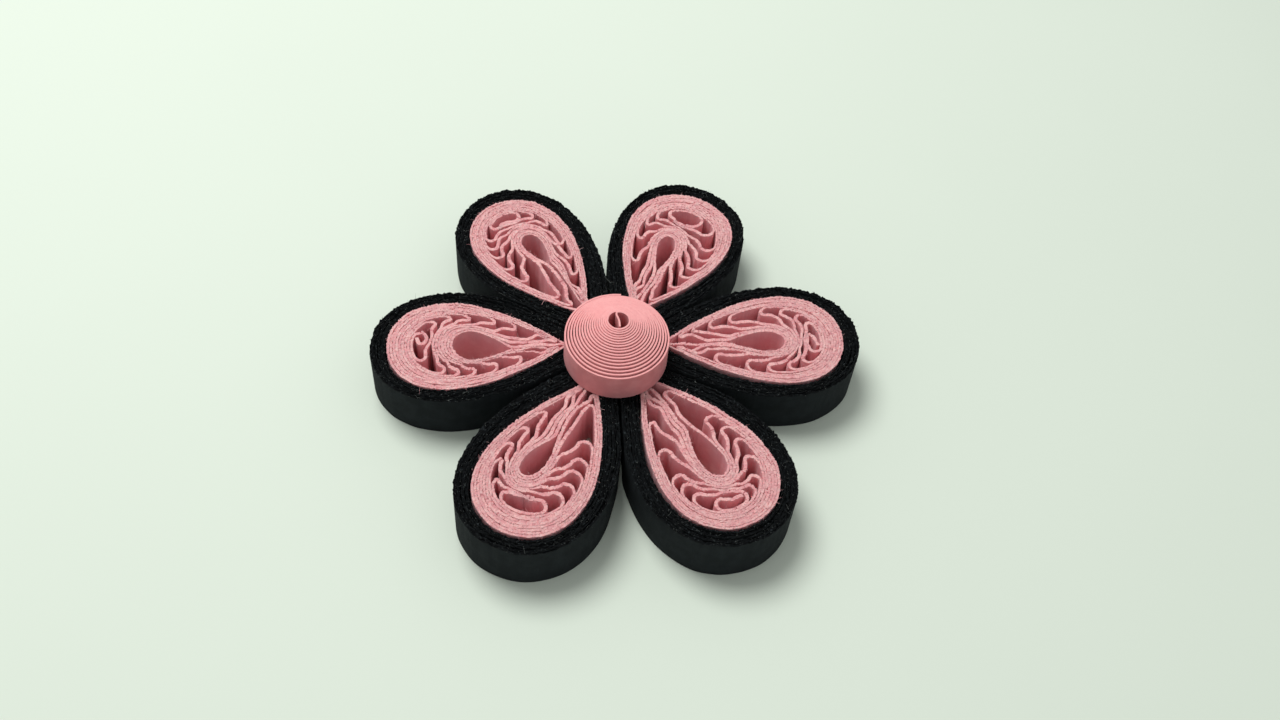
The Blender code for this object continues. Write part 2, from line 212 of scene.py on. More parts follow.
def tubeFibers(roots, directions, lengths, curls, radius):
    # Many hairs at once. Each is a three-sided tube of four rings along a bent line: root, plus its
    # direction times the distance, plus its curl times the distance squared, thinner to its end.
    rings, sides, taper, steep = 4, 3, 0.6, 0.8
    t = np.linspace(0, 1, rings)[None, :, None]
    line = roots[:, None] + directions[:, None] * lengths[:, None, None] * t + curls[:, None] * t ** 2
    axis = directions / np.linalg.norm(directions, axis=1, keepdims=True)
    helper = np.where(np.abs(axis[:, 2:]) < steep, [[0, 0, 1.0]], [[1.0, 0, 0]])
    u = np.cross(axis, helper)
    u /= np.linalg.norm(u, axis=1, keepdims=True)
    v = np.cross(axis, u)
    turn = np.arange(sides) * tau / sides
    spoke = u[:, None] * np.cos(turn)[None, :, None] + v[:, None] * np.sin(turn)[None, :, None]
    size = radius[:, None, None, None] * (1 - taper * t[..., None])
    verts = line[:, :, None] + spoke[:, None] * size
    count = len(roots)
    base = np.arange(count)[:, None, None] * rings * sides
    ring = np.arange(rings - 1)[None, :, None] * sides
    side = np.arange(sides)[None, None, :]
    after = (side + 1) % sides
    quads = np.stack([base + ring + side, base + ring + after, base + ring + sides + after,
                      base + ring + sides + side], axis=-1).reshape(-1, 4)
    first = base[:, 0] + np.arange(sides)[::-1]
    last = base[:, 0] + (rings - 1) * sides + np.arange(sides)
    return verts.reshape(-1, 3), quads.tolist() + first.tolist() + last.tolist()


# Materials

def startMaterial(name):
    material = bpy.data.materials.new(name)
    material.use_nodes = True
    nodes, links = material.node_tree.nodes, material.node_tree.links
    coords = nodes.new("ShaderNodeTexCoord")
    return material, nodes, links, nodes["Principled BSDF"], coords.outputs["Object"]


def addNoise(nodes, links, coords, size, detail, roughness=0.5, distortion=0.0):
    noise = nodes.new("ShaderNodeTexNoise")
    noise.inputs["Scale"].default_value = 1 / size
    noise.inputs["Detail"].default_value = detail
    noise.inputs["Roughness"].default_value = roughness
    noise.inputs["Distortion"].default_value = distortion
    links.new(coords, noise.inputs["Vector"])
    return noise.outputs["Fac"]


def addRamp(nodes, links, value, low, high):
    ramp = nodes.new("ShaderNodeMapRange")
    ramp.interpolation_type = "SMOOTHSTEP"
    ramp.inputs["From Min"].default_value = low
    ramp.inputs["From Max"].default_value = high
    links.new(value, ramp.inputs["Value"])
    return ramp.outputs["Result"]


def addMix(nodes, links, share, a, b):
    # 0, 6 and 7 are the node's inputs for a colour mix, and 2 is its output.
    mix = nodes.new("ShaderNodeMix")
    mix.data_type = "RGBA"
    for socket, value in ((mix.inputs[0], share), (mix.inputs[6], a), (mix.inputs[7], b)):
        if isinstance(value, bpy.types.NodeSocket):
            links.new(value, socket)
        elif isinstance(value, float):
            socket.default_value = value
        else:
            socket.default_value = (*value, 1)
    return mix.outputs[2]


def addMath(nodes, links, operation, a, b):
    node = nodes.new("ShaderNodeMath")
    node.operation = operation
    for socket, value in zip(node.inputs, (a, b)):
        if isinstance(value, bpy.types.NodeSocket):
            links.new(value, socket)
        else:
            socket.default_value = value
    return node.outputs[0]


def addAttribute(nodes, name):
    node = nodes.new("ShaderNodeAttribute")
    node.attribute_name = name
    return node.outputs["Fac"]


def addAlong(nodes, links):
    # A texture place that changes only along the strip, so that a mark runs straight across its own ply
    # and stops at the next one.
    join = nodes.new("ShaderNodeCombineXYZ")
    links.new(addAttribute(nodes, "along"), join.inputs["X"])
    return join.outputs["Vector"]


def addBump(nodes, links, height, distance, shader):
    bump = nodes.new("ShaderNodeBump")
    bump.inputs["Strength"].default_value = 1.0
    bump.inputs["Distance"].default_value = distance
    links.new(height, bump.inputs["Height"])
    links.new(bump.outputs["Normal"], shader.inputs["Normal"])


# The colours laid along each ply are painted: shade where plies part on the pink papers, a glint on the
# black plies' tops.
paperLooks = {
    "pinkPaper": {
        "face": (0.84, 0.375, 0.405), "pale": (0.89, 0.44, 0.46), "edge": (0.945, 0.52, 0.505),
        "edgeDark": (0.81, 0.36, 0.375), "speck": (0.44, 0.13, 0.15), "speckFrom": 0.585, "speckTo": 0.71,
        "plyShadeAndGlint": (0.50, 0.15, 0.17), "plyShadeAndGlintFrom": 0.585, "plyShadeAndGlintTo": 0.68,
        "edgeFrom": 0.97, "toneDepth": 0.14, "glow": 0.3, "roughness": 0.85, "specular": 0.2,
        "sheen": 0.08, "bump": 0.03 * mm,
    },
    "conePaper": {
        # The cone's face colour is the paper's own pink darkened with painted shade, so that its sides, and
        # most of all the low risers between its turns, show as shaded steps under each ply's cut edge.
        "face": (0.70, 0.27, 0.28), "pale": (0.76, 0.32, 0.33), "edge": (0.98, 0.47, 0.46),
        "edgeDark": (0.90, 0.38, 0.38), "speck": (0.80, 0.28, 0.30), "speckFrom": 0.80, "speckTo": 0.90,
        "plyShadeAndGlint": (0.82, 0.30, 0.31), "plyShadeAndGlintFrom": 0.80, "plyShadeAndGlintTo": 0.90,
        "edgeFrom": 0.985, "toneDepth": 0.08, "glow": 0.1, "roughness": 0.72, "specular": 0.25,
        "sheen": 0.05, "bump": 0.006 * mm,
    },
    "blackPaper": {
        "face": (0.0135, 0.0165, 0.0185), "pale": (0.0175, 0.0215, 0.0240),
        "edge": (0.0060, 0.0076, 0.0085), "edgeDark": (0.0010, 0.0013, 0.0017),
        "speck": (0.085, 0.10, 0.105), "speckFrom": 0.64, "speckTo": 0.76,
        "plyShadeAndGlint": (0.026, 0.032, 0.035), "plyShadeAndGlintFrom": 0.58, "plyShadeAndGlintTo": 0.68,
        "edgeFrom": 0.975, "toneDepth": 0.12, "glow": 0.0, "roughness": 0.9, "specular": 0.1,
        "sheen": 0.0, "bump": 0.04 * mm,
    },
}
# What all papers share: each noise's size, detail, roughness and distortion, and the values between
# which a mark fades in.
paperTexture = {
    "cloud": (1.1 * mm, 3), "cloudFade": (0.35, 0.68), "grain": (0.09 * mm, 4, 0.7),
    "fluffFade": (0.30, 0.72), "dots": (0.13 * mm, 2, 0.6, 0.6), "plyShadeAndGlint": (0.55 * mm, 2, 0.6),
    "edgeTo": 0.99, "sheenRoughness": 0.6, "glowRadius": (1.0, 0.45, 0.45), "glowDepth": 0.7 * mm,
}


def makePaper(name):
    # The faces are a soft mottle of two tones. The cut edges have their own two tones, finer, with specks,
    # and with dashes along each ply: painted shade where plies part on the pink papers, and painted glints
    # on the black plies' tops. rise, tone and along are the strips' own values.
    look, texture = paperLooks[name], paperTexture
    material, nodes, links, shader, coords = startMaterial(name)
    cutEdge = addRamp(nodes, links, addAttribute(nodes, "rise"), look["edgeFrom"], texture["edgeTo"])
    tone = addMath(nodes, links, "MULTIPLY", addAttribute(nodes, "tone"), look["toneDepth"])
    cloud = addRamp(nodes, links, addNoise(nodes, links, coords, *texture["cloud"]), *texture["cloudFade"])
    grain = addNoise(nodes, links, coords, *texture["grain"])
    face = addMix(nodes, links, cloud, look["face"], look["pale"])
    fluff = addRamp(nodes, links, addMath(nodes, links, "ADD", grain, tone), *texture["fluffFade"])
    edge = addMix(nodes, links, fluff, look["edgeDark"], look["edge"])
    dots = addNoise(nodes, links, coords, *texture["dots"])
    speck = addRamp(nodes, links, dots, look["speckFrom"], look["speckTo"])
    edge = addMix(nodes, links, speck, edge, look["speck"])
    # Dashes along each ply: painted shade where plies part on the pinks, painted glints on the black ply
    # tops.
    plyShadeAndGlintNoise = addNoise(nodes, links, addAlong(nodes, links), *texture["plyShadeAndGlint"])
    plyShadeAndGlint = addRamp(nodes, links, plyShadeAndGlintNoise, look["plyShadeAndGlintFrom"], look["plyShadeAndGlintTo"])
    edge = addMix(nodes, links, plyShadeAndGlint, edge, look["plyShadeAndGlint"])
    links.new(addMix(nodes, links, cutEdge, face, edge), shader.inputs["Base Color"])
    shader.inputs["Roughness"].default_value = look["roughness"]
    shader.inputs["Specular IOR Level"].default_value = look["specular"]
    shader.inputs["Sheen Weight"].default_value = look["sheen"]
    shader.inputs["Sheen Roughness"].default_value = texture["sheenRoughness"]
    shader.inputs["Subsurface Weight"].default_value = look["glow"]  # light passing through the thin paper
    shader.inputs["Subsurface Radius"].default_value = texture["glowRadius"]
    shader.inputs["Subsurface Scale"].default_value = texture["glowDepth"]
    addBump(nodes, links, grain, look["bump"], shader)
    return material


fiberLooks = {
    "blackFiber": {"dark": (0.012, 0.014, 0.014), "light": (0.30, 0.33, 0.31)},
    "pinkFiber": {"dark": (0.80, 0.34, 0.36), "light": (0.93, 0.62, 0.62)},
}
fiberTexture = {"grain": (0.2 * mm, 2), "grainLift": 0.5, "roughness": 0.9, "specular": 0.2}


def makeFiberMaterial(name):
    # tone is each fibre's own share of the light colour.
    look, texture = fiberLooks[name], fiberTexture
    material, nodes, links, shader, coords = startMaterial(name)
    grain = addNoise(nodes, links, coords, *texture["grain"])
    own = addAttribute(nodes, "tone")
    lifted = addMath(nodes, links, "ADD", grain, texture["grainLift"])
    tone = addMath(nodes, links, "MULTIPLY", own, lifted)
    links.new(addMix(nodes, links, tone, look["dark"], look["light"]), shader.inputs["Base Color"])
    shader.inputs["Roughness"].default_value = texture["roughness"]
    shader.inputs["Specular IOR Level"].default_value = texture["specular"]
    return material


pinkPaper = makePaper("pinkPaper")
conePaper = makePaper("conePaper")
blackPaper = makePaper("blackPaper")
blackFiber = makeFiberMaterial("blackFiber")
pinkFiber = makeFiberMaterial("pinkFiber")
print("materials made")


# Where each thing's random draws begin. A petal adds its number, and for a strip, which uses three seeds,
# its number times step. Coils and borders share the wobble, so that they stay together.
seeds = {
    "step": 10, "heads": 100, "wobble": 300, "thickness": 350, "coilTop": 400, "coilStrip": 500,
    "borderLong": 800, "borderShort": 820, "bunching": 850, "borderStrip": 900,
    "borderFuzz": 1100, "coilFuzz": 1200, "coneTop": 1300, "coneStrip": 1400,
}

# The petals. Their outlines and walls and the borders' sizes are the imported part's. The bands, cores and
# pockets were brought closer to the photo afterwards.
petalRoll = {
    "strip": 5.0 * mm, "ply": 0.33 * mm, "turns": 9,
    "length": 20.7 * mm, "tip": 4.1 * mm, "width": 9.8 * mm, "sharpness": 1.04,
    "tipWall": 0.4 * mm, "wall": 2.2 * mm, "sideWall": 1.35 * mm, "wallSharpness": 1.24,
    "farBand": 1.4 * mm, "sideBand": 1.25 * mm, "coreWall": 1.8 * mm,
    "pocketLength": 5.3 * mm, "pocketWidth": 2.1 * mm, "pocketSharpness": 1.3,
    # How many plies lie at the first folds, left and right, and over how many angles they are smoothed
    "wallPlies": (0.85, 1.35), "corePlies": (0.25, 0.75), "countAngles": 721, "countBlend": 44,
    # The core's least room for a ply near the tip, and the share of the wall's half width it may take
    "neckRoom": 0.36 * mm, "neckShare": 0.8, "neckBlend": 0.1 * mm, "neckFade": (45, 85),
    # The folds that don't show, and the heads. Leads are in plies.
    "firstHidden": 9, "lastHidden": 0.72, "headPlace": (0.22, 0.42), "bow": 0.5,
    "bowSpread": (0.85, 1.25), "squareness": 0.7, "wallLead": 0.35, "coreLead": 0.25,
    # A sweep is shorter near the far end, to leave room for the other side's. leastSweep is in radians.
    "sweepEnd": 181, "sweepShare": 0.9, "leastSweep": 0.06,
    "slitWidth": 0.38 * mm, "slitPly": 2, "slitBlend": (1.6, 0.4), "slitFade": (0.3, 1.0),
    "endLead": 0.5, "endRounds": 4, "armPoints": 190, "headPoints": 22, "step": 0.078 * mm,
    "lineBlend": 4, "wobble": 0.03 * mm,
    "thicknessBlend": 6, "thicknessWaves": (9, 0.7 * mm, 6 * mm), "thicknessStray": 0.07, "thinnest": 0.35,
    "topWaves": (9, 2 * mm, 30 * mm), "topStray": 0.04 * mm, "crimp": 0.018 * mm, "ragged": 0.026 * mm,
}
petalBorder = {
    "thickness": 1.4 * mm, "tip": 0.6 * mm, "sharpness": 0.95, "plies": 8, "ply": 0.2 * mm,
    "fill": 0.76, "thinnest": 0.5, "bunching": 0.22,
    "cadGap": 0.2 * mm, "glueGap": 0.03 * mm, "inset": 0.07 * mm, "slopeAngle": 45,
    "outlinePoints": 32, "turnPoints": 420,
    "ends": 0.01, "bunchWaves": (7, 0.1, 0.9),  # both in turns
    "longWaves": (8, 8 * mm, 60 * mm), "longShare": 0.6, "shortWaves": (16, 0.5 * mm, 5 * mm),
    "shortShare": 0.35, "strayLimits": (-1.2, 1), "topDrop": 0.12 * mm, "topStray": 0.18 * mm,
    "crimp": 0.036 * mm, "ragged": 0.032 * mm,
}
# Each petal as it was rolled by hand, anticlockwise. Sizes are multiples of the ones above, shifts are to
# the petal's left as shares of its width, and the slit's ends are shares of the way from the tip to the
# pocket. left and right are the folds' angles from the tip. innerEnd is the strip's last run, as angles
# and places.
petals = [
    dict(direction=0, length=1.007, width=1.0, border=1.0, sideBorder=0.86, wall=1.0, sideWall=1.0,
         farBand=0.86, sideBand=0.93, coreWall=1.15, coreSharpness=2.5, coreShift=0.0,
         pocketLength=0.99, pocketWidth=1.02, tailShift=-0.01, pocketShift=-0.026, slit=(0.274, 0.822),
         sweep=38, left=(52, 69, 86, 110, 128, 144, 158), right=(32, 48, 70, 94, 109, 127, 144, 161),
         innerEnd=((192, 0.02), (184, 0.04), (175, 0.1), (172, 0.25), (176, 0.48), (184, 0.7), (191, 0.9))),
    dict(direction=61, length=0.959, width=1.02, border=0.9, sideBorder=0.78, wall=1.0, sideWall=1.0,
         farBand=1.2, sideBand=1.1, coreWall=1.1, coreSharpness=2.2, coreShift=0.061,
         pocketLength=0.86, pocketWidth=0.76, tailShift=0.01, pocketShift=0.066, slit=(0.503, 1.132),
         sweep=34, left=(46, 82, 109, 128, 144, 160), right=(43, 70, 84, 96, 108, 122, 142, 160),
         innerEnd=((192, 0.0), (184, 0.0), (176, 0.02), (170, 0.06))),
    dict(direction=122, length=0.973, width=0.944, border=0.98, sideBorder=0.98, wall=0.8, sideWall=0.93,
         farBand=0.8, sideBand=0.76, coreWall=1.15, coreSharpness=2.5, coreShift=-0.041,
         pocketLength=0.81, pocketWidth=0.86, tailShift=-0.061, pocketShift=-0.061, slit=(0.594, 1.146),
         sweep=34, left=(38, 56, 85, 102, 118, 129, 140, 158), right=(36, 69, 85, 102, 127, 146, 164),
         innerEnd=((190, 0.0), (184, 0.04), (179, 0.15), (173, 0.36), (168, 0.4), (164, 0.3), (162, 0.15))),
    dict(direction=178, length=0.981, width=0.98, border=1.02, sideBorder=0.77, wall=1.07, sideWall=1.11,
         farBand=0.86, sideBand=0.62, coreWall=1.25, coreSharpness=2.2, coreShift=-0.026,
         pocketLength=1.02, pocketWidth=1.45, tailShift=0.041, pocketShift=-0.01, slit=(0.298, 0.897),
         sweep=26, left=(35, 68, 87, 104, 117, 131, 157), right=(40, 72, 89, 110, 126, 144, 164),
         innerEnd=((190, 0.05), (185, 0.1), (181, 0.14), (178, 0.28), (180, 0.5), (185, 0.7), (191, 0.86))),
    dict(direction=240, length=1.034, width=1.02, border=1.04, sideBorder=1.04, wall=1.11, sideWall=1.0,
         farBand=0.84, sideBand=1.0, coreWall=1.12, coreSharpness=2.4, coreShift=-0.082,
         pocketLength=0.9, pocketWidth=0.88, tailShift=-0.02, pocketShift=-0.097, slit=(0.414, 1.076),
         sweep=30, left=(50, 83, 98, 109, 120, 132, 148), right=(43, 74, 92, 108, 124, 146, 164),
         innerEnd=((188, 0.02), (178, 0.0), (168, 0.0), (160, 0.06), (156, 0.16))),
    dict(direction=299, length=1.031, width=1.036, border=1.07, sideBorder=1.09, wall=0.93, sideWall=0.96,
         farBand=0.86, sideBand=1.1, coreWall=1.1, coreSharpness=2.1, coreShift=0.015,
         pocketLength=1.08, pocketWidth=1.0, tailShift=0.041, pocketShift=0.026, slit=(0.529, 1.114),
         sweep=32, left=(46, 84, 97, 109, 127, 147, 160, 172), right=(36, 66, 90, 112, 122, 134, 154),
         innerEnd=((200, 0.3), (192, 0.34), (184, 0.38), (178, 0.42), (174, 0.5))),
]


def rollSizes(petal):
    # The places along the petal's axis where its wall, fold band and pocket begin and end.
    roll = petalRoll
    far = roll["length"] * petal["length"]
    wallEdge = far - roll["wall"] * petal["wall"]
    coreEdge = wallEdge - roll["farBand"] * petal["farBand"]
    pocketFar = coreEdge - roll["coreWall"] * petal["coreWall"]
    return far, wallEdge, coreEdge, pocketFar, pocketFar - roll["pocketLength"] * petal["pocketLength"]


def allFolds(petal, side):
    # The folds that show, with evenly spaced hidden ones before them up to the number of turns.
    shown = petal[side]
    hidden = petalRoll["turns"] - len(shown)
    under = np.linspace(petalRoll["firstHidden"], shown[0] * petalRoll["lastHidden"], hidden)
    return np.radians(np.concatenate([under, shown]))


def plyCounts(petal):
    # How many plies lie in the wall and in the core at each angle: one more after each fold, and half
    # a turn's difference between the two sides, because the strip is one spiral. Each step is spread
    # out to both sides of its fold.
    roll = petalRoll
    left, right = allFolds(petal, "left"), allFolds(petal, "right")
    order = np.arange(len(left))
    angles = np.concatenate([[0], left, tau - right[::-1], [tau]])
    onLeft, onRight = roll["wallPlies"]
    inWall = np.concatenate([[onLeft], order + onLeft, order[::-1] + onRight, [onRight]])
    onLeft, onRight = roll["corePlies"]
    inCore = [[onRight], np.maximum(order + onLeft, onRight), order[::-1] + onRight, [onRight]]
    fine = np.linspace(0, tau, roll["countAngles"])
    counts = [np.interp(fine, angles, inWall), np.interp(fine, angles, np.concatenate(inCore))]
    smooth = smoothLine(np.stack(counts, axis=1), roll["countBlend"])
    return fine, smooth[:, 0], smooth[:, 1]


def rollCurves(petal, angle):
    # Four curves at the same angles, from the pocket outwards: the pocket's edge, the core's edge, the
    # wall's edge and the outline. Before the pocket's tail its edge is the line to the petal's tip.
    # Near the tip the core is never thinner than the plies that lie in it.
    roll = petalRoll
    far, wallEdge, coreEdge, pocketFar, pocketTail = rollSizes(petal)
    tip = roll["tip"] + roll["tipWall"]
    width = roll["width"] * petal["width"]
    wallWidth = width - 2 * roll["sideWall"] * petal["sideWall"]
    coreWidth = wallWidth - 2 * roll["sideBand"] * petal["sideBand"]
    outline = teardrop(angle, roll["tip"], far, width, roll["sharpness"])
    wall = teardrop(angle, tip, wallEdge, wallWidth, roll["wallSharpness"])
    core = teardrop(angle, tip, coreEdge, coreWidth, petal["coreSharpness"])
    side = np.sign(np.sin(angle))
    fromTip = np.degrees(np.minimum(angle, tau - angle))
    knots, _, inCore = plyCounts(petal)
    fade = 1 - softStep(fromTip, *roll["neckFade"])
    room = roll["neckRoom"] * np.interp(angle, knots, inCore)
    room = np.minimum(room, roll["neckShare"] * np.abs(wall[:, 1])) * fade
    core[:, 1] = side * softMax(np.abs(core[:, 1]), room, roll["neckBlend"] * fade)
    core = shiftAlong(core, angle, 0, roll["width"] * petal["coreShift"])
    x = tip + (pocketFar - tip) * (1 - np.cos(angle)) / 2
    pocketAngle = np.arccos(np.clip(1 - 2 * (x - pocketTail) / (pocketFar - pocketTail), -1, 1))
    pocketAngle = np.where(side < 0, tau - pocketAngle, pocketAngle)
    pocketWidth = roll["pocketWidth"] * petal["pocketWidth"]
    pocket = teardrop(pocketAngle, pocketTail, pocketFar, pocketWidth, roll["pocketSharpness"])
    pocket = shiftAlong(pocket, pocketAngle, width * petal["tailShift"], width * petal["pocketShift"])
    pocket[:, 0] = np.maximum(x, tip)
    toTail = np.clip((pocketTail - x) / (pocketTail - tip), 0, 1)
    pocket[:, 1] = np.where(x < pocketTail, width * petal["tailShift"] * (1 - toTail ** 2), pocket[:, 1])
    return np.stack([pocket, core, wall, outline])


def rollPoints(petal, angle, place):
    # A straight mix of the two curves beside each point: place is -1 on the pocket's edge, 0 on the
    # core's edge, 1 on the wall's edge and 2 on the outline.
    curves = rollCurves(petal, angle)
    low = np.clip(np.floor(place).astype(int), -1, 1)
    mix = (place - low)[:, None]
    at = np.arange(len(angle))
    return curves[low + 1, at] * (1 - mix) + curves[low + 2, at] * mix


def rollPath(petal, number):
    # The strip as angle and place, from its outer end inwards. Each turn runs out along the wall round
    # the far end, folds back on the right, runs in along the core and folds back on the left. Ply u lies
    # u + wallLead plies in from the outline or u - coreLead plies out from the pocket, a ply being the
    # wall's or the core's width over its count, and u grows by one each turn. A fold's head is a half
    # ellipse against the wall. Between it and the core the ply sweeps over, slowly at first and at last.
    roll = petalRoll
    pick = np.random.default_rng(seeds["heads"] + number)
    knots, inWall, inCore = plyCounts(petal)
    left, right = allFolds(petal, "left"), allFolds(petal, "right")
    turns = roll["turns"]
    headLeft, headRight = pick.uniform(*roll["headPlace"], (2, turns))

    def wallPlace(angle, turn):
        return 2 - (turn + angle / tau / 2 + roll["wallLead"]) / np.interp(angle, knots, inWall)

    def towardsHead(fromTip, fold):
        # 1 at the fold and 0 where the sweep is over.
        room = (math.radians(roll["sweepEnd"]) - fold) * roll["sweepShare"] + roll["leastSweep"]
        return 1 - softStep(fromTip, fold, fold + min(math.radians(petal["sweep"]), room))

    def corePlace(angle, turn):
        core = -1 + (turn + 1 - angle / tau / 2 - roll["coreLead"]) / np.interp(angle, knots, inCore)
        swept = (headRight[turn] - core) * towardsHead(tau - angle, right[turn])
        if turn < turns - 1:
            swept = swept + (headLeft[turn + 1] - core) * towardsHead(angle, left[turn + 1])
        return core + swept

    def bowOf(fold, toFar, headPlace):
        # How deep the head is, and how far its wall end is set back so that the head stands square.
        nudge, nearWall = 0.01, 0.8
        near = rollPoints(petal, np.array([fold, fold, fold + nudge, fold - nudge]),
                          np.array([headPlace, 1, nearWall, nearWall]))
        across, travel = near[1] - near[0], (near[2] - near[3]) / (2 * nudge)
        share = toFar * roll["bow"] * pick.uniform(*roll["bowSpread"])
        bow = share * np.linalg.norm(across) / np.linalg.norm(travel)
        return bow, -roll["squareness"] * (across @ travel) / (travel @ travel)

    def head(fold, bow, setBack, startPlace, endPlace):
        phase = np.linspace(0, math.pi, roll["headPoints"] + 2)[1:-1]
        middle, half = (startPlace + endPlace) / 2, (startPlace - endPlace) / 2
        angle = fold + bow * (1 - np.sin(phase)) + setBack * (1 + np.cos(phase)) / 2
        return angle, middle + half * np.cos(phase)

    angles, places = [], []
    bow, setBack = bowOf(left[0], 1, headLeft[0])
    outFrom = left[0] + bow + setBack
    for turn in range(turns):
        rightFold = tau - right[turn]
        bow, setBack = bowOf(rightFold, -1, headRight[turn])
        outTo, backFrom = rightFold + bow + setBack, rightFold + bow
        out = np.linspace(outFrom, outTo, roll["armPoints"])
        angles.append(out)
        places.append(wallPlace(out, turn))
        headAngle, headPlace = head(rightFold, bow, setBack,
                                    wallPlace(outTo, turn), corePlace(backFrom, turn))
        angles.append(headAngle)
        places.append(headPlace)
        if turn == turns - 1:
            first = np.array([[math.degrees(backFrom) - roll["endLead"], corePlace(backFrom, turn)]])
            inner = cutCorners(np.concatenate([first, petal["innerEnd"]]), roll["endRounds"])
            angles.append(np.radians(inner[:, 0]))
            places.append(inner[:, 1])
            break
        leftFold = left[turn + 1]
        bow, setBack = bowOf(leftFold, 1, headLeft[turn + 1])
        outFrom, backTo = leftFold + bow + setBack, leftFold + bow
        inwards = np.linspace(backFrom, backTo, roll["armPoints"])
        angles.append(inwards)
        places.append(corePlace(inwards, turn))
        headAngle, headPlace = head(leftFold, bow, setBack,
                                    wallPlace(outFrom, turn + 1), corePlace(backTo, turn))
        angles.append(headAngle[::-1])
        places.append(headPlace[::-1])
    return np.concatenate(angles), np.concatenate(places)


def plyRoom(petal, angle, place, path):
    # The space that each ply has, measured square to the strip: how far a whole wall or core reaches
    # across the strip's own direction, over the plies in it. Folds' heads have all they need.
    knots, inWall, inCore = plyCounts(petal)
    curves = rollCurves(petal, angle)
    inTheWall = place >= 1
    reach = np.where(inTheWall[:, None], curves[3] - curves[2], curves[1] - curves[0])
    count = np.where(inTheWall, np.interp(angle, knots, inWall), np.interp(angle, knots, inCore))
    return np.where((place > 0) & (place < 1), np.inf, squareTo(path, reach) / count)


def openSlit(petal, points, angle, place):
    # Pushes the plies apart along the neck, between two plies of the core on the petal's left, by up to
    # half the slit's width each way, as sin squared along the slit. It fades towards the wall.
    roll = petalRoll
    knots, _, inCore = plyCounts(petal)
    neck = rollSizes(petal)[4] - roll["tip"]
    start, end = (roll["tip"] + neck * share for share in petal["slit"])
    along = np.clip((points[:, 0] - start) / (end - start), 0, 1)
    ply = (place + 1) * np.interp(angle, knots, inCore)
    before, after = roll["slitBlend"]
    outside = softStep(ply, roll["slitPly"] - before, roll["slitPly"] - after) * (np.sin(angle) > 0)
    push = roll["slitWidth"] / 2 * np.sin(math.pi * along) ** 2
    points[:, 1] += push * (2 * outside - 1) * (1 - softStep(place, *roll["slitFade"]))
    return points


def wholeFlower(points, petal, center):
    return turnBy(points, petal["direction"]) + center


def halfAngle(petal, neighbor):
    return math.radians((neighbor["direction"] - petal["direction"]) % 360) / 2


def borderCurves(petal, leftHalf, rightHalf, angle, gap, inset=0):
    # The border's inner and outer outlines. The outer one is cut where it meets a neighbour, halfway.
    roll, border = petalRoll, petalBorder
    far = roll["length"] * petal["length"]
    width = roll["width"] * petal["width"]
    slopeAngle = np.array([math.radians(border["slopeAngle"])])
    nearTip = teardrop(slopeAngle, roll["tip"], far, width, roll["sharpness"])[0]
    tipSlope = math.atan2(nearTip[1], nearTip[0] - roll["tip"])
    innerTip = roll["tip"] - gap / math.sin(tipSlope)
    inner = teardrop(angle, innerTip, far + gap, width + 2 * gap, roll["sharpness"])
    far += border["cadGap"] + border["thickness"] * petal["border"] - inset
    width += 2 * (border["cadGap"] + border["thickness"] * petal["sideBorder"] - inset)
    outer = teardrop(angle, border["tip"] + inset, far, width, border["sharpness"])
    leftLimit = outer[:, 0] * math.tan(leftHalf) - border["glueGap"] / 2 / math.cos(leftHalf)
    rightLimit = outer[:, 0] * math.tan(rightHalf) - border["glueGap"] / 2 / math.cos(rightHalf)
    outer[:, 1] = np.clip(outer[:, 1], -rightLimit, leftLimit)
    return inner, outer


def findCenter():
    # The petals' centre in the part's frame: the box round the borders is in the middle of the frame.
    angle = np.linspace(0, tau, petalBorder["outlinePoints"], endpoint=False)
    outlines = []
    for petal, after, before in zip(petals, petals[1:] + petals[:1], petals[-1:] + petals[:-1]):
        halves = halfAngle(petal, after), halfAngle(before, petal)
        outer = borderCurves(petal, *halves, angle, petalBorder["cadGap"])[1]
        outlines.append(turnBy(outer, petal["direction"]))
    points = np.concatenate(outlines)
    return -(points.min(axis=0) + points.max(axis=0)) / 2


flowerCenter = findCenter()


def makePetalCoil(number, petal):
    # The thickness follows the room for a ply, as a moving mean, and is a little uneven.
    roll = petalRoll
    angle, place = rollPath(petal, number)
    line = np.column_stack([rollPoints(petal, angle, place), angle, place])
    line = smoothLine(spaceEvenly(line, roll["step"]), roll["lineBlend"])
    points, angle, place = line[:, :2], line[:, 2], line[:, 3]
    room = plyRoom(petal, angle, place, points)
    points = openSlit(petal, points, angle, place)
    points = paperWave(points, seeds["wobble"] + number, roll["wobble"])
    even = pathLength(points)
    blend = roll["thicknessBlend"]
    mean = np.ones(2 * blend + 1) / (2 * blend + 1)
    thickness = np.pad(np.minimum(roll["ply"], room), blend, mode="edge")
    thickness = np.convolve(thickness, mean, mode="valid")
    uneven = waver(seeds["thickness"] + number, even, *roll["thicknessWaves"])
    thickness = np.maximum(thickness * (1 + roll["thicknessStray"] * uneven), roll["ply"] * roll["thinnest"])
    top = roll["strip"] + waver(seeds["coilTop"] + number, even, *roll["topWaves"]) * roll["topStray"]
    foot = np.zeros(len(points))
    path = wholeFlower(points, petal, flowerCenter)
    seed = seeds["coilStrip"] + number * seeds["step"]
    strip = stripMesh(path, thickness, top, foot, roll["crimp"], roll["ragged"], seed)
    coil = makeMesh(f"petal_{number}_pink_coil", *strip, pinkPaper)
    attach(coil, "root")
    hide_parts(f"petal_{number}_coil")
    return coil, path, top


